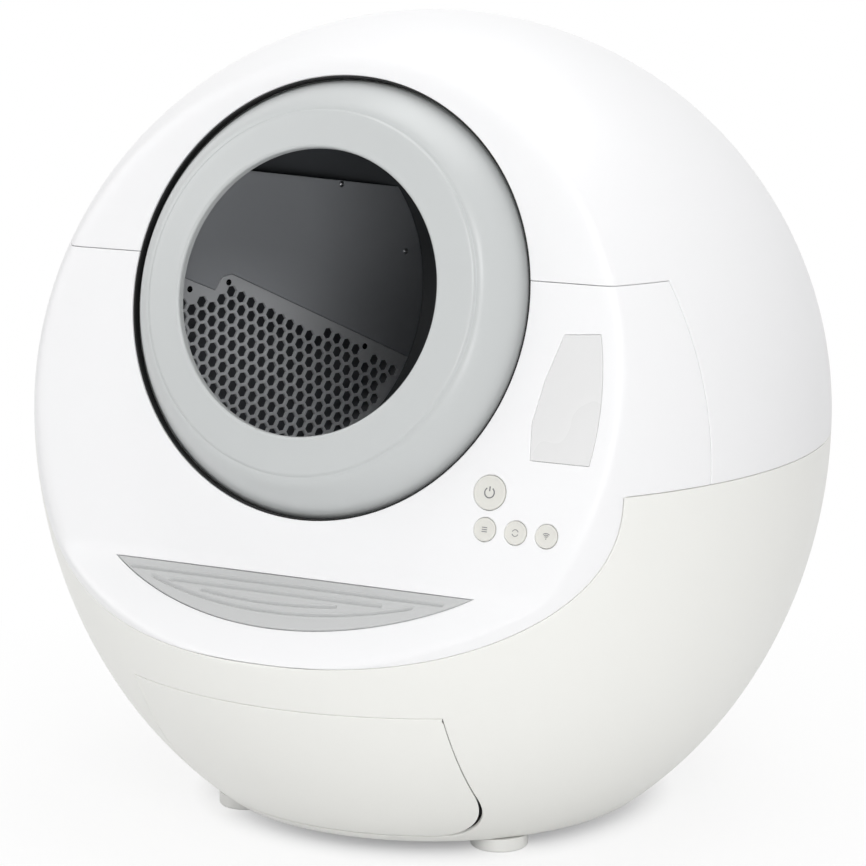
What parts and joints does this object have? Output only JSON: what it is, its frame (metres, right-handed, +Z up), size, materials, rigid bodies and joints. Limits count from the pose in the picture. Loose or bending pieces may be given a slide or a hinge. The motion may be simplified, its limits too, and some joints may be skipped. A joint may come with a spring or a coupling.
{
  "type": "self cleaning litter box",
  "caption": "Ball-shaped automatic litter box with a tilted turning drum, round cat entry, sieve, waste drawer, lift-off lid, step pad and buttons.",
  "frame": {"origin": "on the floor, under the middle of the box's footprint", "axes": "+Z up, the face with the cat's entry towards -Y"},
  "size_m": [0.579, 0.556, 0.5776],
  "materials": {
    "white_shell": "glossy",
    "warm_white_shell": "satin",
    "ring_grey": "satin",
    "drum_grey": "satin",
    "dark_plastic": "matte",
    "pale_window": "glossy",
    "button_white": "satin",
    "pad_grey": "matte",
    "black_rubber": "matte",
    "foot_white": "matte",
    "chassis_plastic": "matte",
    "bin_plastic": "matte",
    "steel": "brushed",
    "circuit_board": "matte",
    "filter_carbon": "matte"
  },
  "bodies": {
    "chassis": {"base_shell": "warm_white_shell", "bottom_plate": "chassis_plastic", "foot_1": "foot_white", "foot_2": "foot_white", "foot_3": "foot_white", "foot_4": "foot_white", "load_cell_1": "steel", "load_cell_2": "steel", "load_cell_3": "steel", "load_cell_4": "steel", "deck": "chassis_plastic", "roller_bracket_1": "chassis_plastic", "roller_bracket_2": "chassis_plastic", "roller_bracket_3": "chassis_plastic", "roller_bracket_4": "chassis_plastic", "roller_axle_1": "steel", "roller_axle_2": "steel", "roller_axle_3": "steel", "roller_axle_4": "steel", "front_panel": "white_shell", "step_pad": "pad_grey", "display_window": "pale_window", "display_board": "circuit_board", "button_board": "circuit_board", "drum_seal": "black_rubber", "drive_motor": "steel", "motor_bracket": "chassis_plastic", "control_board": "circuit_board", "power_inlet": "dark_plastic", "rear_bracket": "chassis_plastic", "pivot_pin": "steel", "drawer_rail_left": "chassis_plastic", "drawer_rail_right": "chassis_plastic", "chute_collar": "chassis_plastic"},
    "lid": {"top_shell": "white_shell", "filter_box": "filter_carbon"},
    "drum": {"drum_front": "ring_grey", "drum_rear": "drum_grey", "ring_gear": "dark_plastic", "sieve_plate": "dark_plastic", "divider_plate": "drum_grey", "screw_1": "steel", "screw_2": "steel", "screw_3": "steel", "screw_4": "steel", "screw_5": "steel", "rear_bush": "steel"},
    "drawer": {"drawer_front": "warm_white_shell", "drawer_bin": "bin_plastic", "bag_frame": "chassis_plastic"},
    "pinion": {"drive_pinion": "dark_plastic"},
    "roller_front_left": {"roller_1": "dark_plastic"},
    "roller_front_right": {"roller_2": "dark_plastic"},
    "roller_rear_left": {"roller_3": "dark_plastic"},
    "roller_rear_right": {"roller_4": "dark_plastic"},
    "power_key": {"power_button": "button_white"},
    "mode_key": {"mode_button": "button_white"},
    "clean_key": {"clean_button": "button_white"},
    "wifi_key": {"wifi_button": "button_white"}
  },
  "joints": [
    {"name": "drum_spin", "type": "hinge", "parent": "chassis", "child": "drum", "pos_m": [0, -0.0241, 0.35262], "axis": [0, -0.9646, 0.2637], "continuous": true},
    {"name": "pinion_spin", "type": "hinge", "parent": "chassis", "child": "pinion", "pos_m": [0.17667, 0.08597, 0.21679], "axis": [0, -0.9646, 0.2637], "continuous": true},
    {"name": "roller_front_left_spin", "type": "hinge", "parent": "chassis", "child": "roller_front_left", "pos_m": [-0.13966, -0.11368, 0.19179], "axis": [0, -0.9646, 0.2637], "continuous": true},
    {"name": "roller_front_right_spin", "type": "hinge", "parent": "chassis", "child": "roller_front_right", "pos_m": [0.13966, -0.11368, 0.19179], "axis": [0, -0.9646, 0.2637], "continuous": true},
    {"name": "roller_rear_left_spin", "type": "hinge", "parent": "chassis", "child": "roller_rear_left", "pos_m": [-0.13751, -0.01264, 0.16703], "axis": [0, -0.9646, 0.2637], "continuous": true},
    {"name": "roller_rear_right_spin", "type": "hinge", "parent": "chassis", "child": "roller_rear_right", "pos_m": [0.13751, -0.01264, 0.16703], "axis": [0, -0.9646, 0.2637], "continuous": true},
    {"name": "drawer_slide", "type": "slide", "parent": "chassis", "child": "drawer", "axis": [0, -1, 0], "range_m": [0, 0.26]},
    {"name": "lid_lift", "type": "slide", "parent": "chassis", "child": "lid", "axis": [0, 0, 1], "range_m": [0, 0.25]},
    {"name": "power_press", "type": "slide", "parent": "chassis", "child": "power_key", "axis": [0, 0.9646, -0.2637], "range_m": [0, 0.0015], "stiffness_N_per_m": 300, "springref_m": -0.001},
    {"name": "mode_press", "type": "slide", "parent": "chassis", "child": "mode_key", "axis": [0, 0.9646, -0.2637], "range_m": [0, 0.0015], "stiffness_N_per_m": 300, "springref_m": -0.001},
    {"name": "clean_press", "type": "slide", "parent": "chassis", "child": "clean_key", "axis": [0, 0.9646, -0.2637], "range_m": [0, 0.0015], "stiffness_N_per_m": 300, "springref_m": -0.001},
    {"name": "wifi_press", "type": "slide", "parent": "chassis", "child": "wifi_key", "axis": [0, 0.9646, -0.2637], "range_m": [0, 0.0015], "stiffness_N_per_m": 300, "springref_m": -0.001}
  ],
  "couplings": [
    {"joint": "pinion_spin", "follows": "drum_spin", "ratio": -7.5},
    {"joint": "roller_front_left_spin", "follows": "drum_spin", "ratio": -15.182},
    {"joint": "roller_front_right_spin", "follows": "drum_spin", "ratio": -15.182},
    {"joint": "roller_rear_left_spin", "follows": "drum_spin", "ratio": -14.932},
    {"joint": "roller_rear_right_spin", "follows": "drum_spin", "ratio": -14.932}
  ]
}
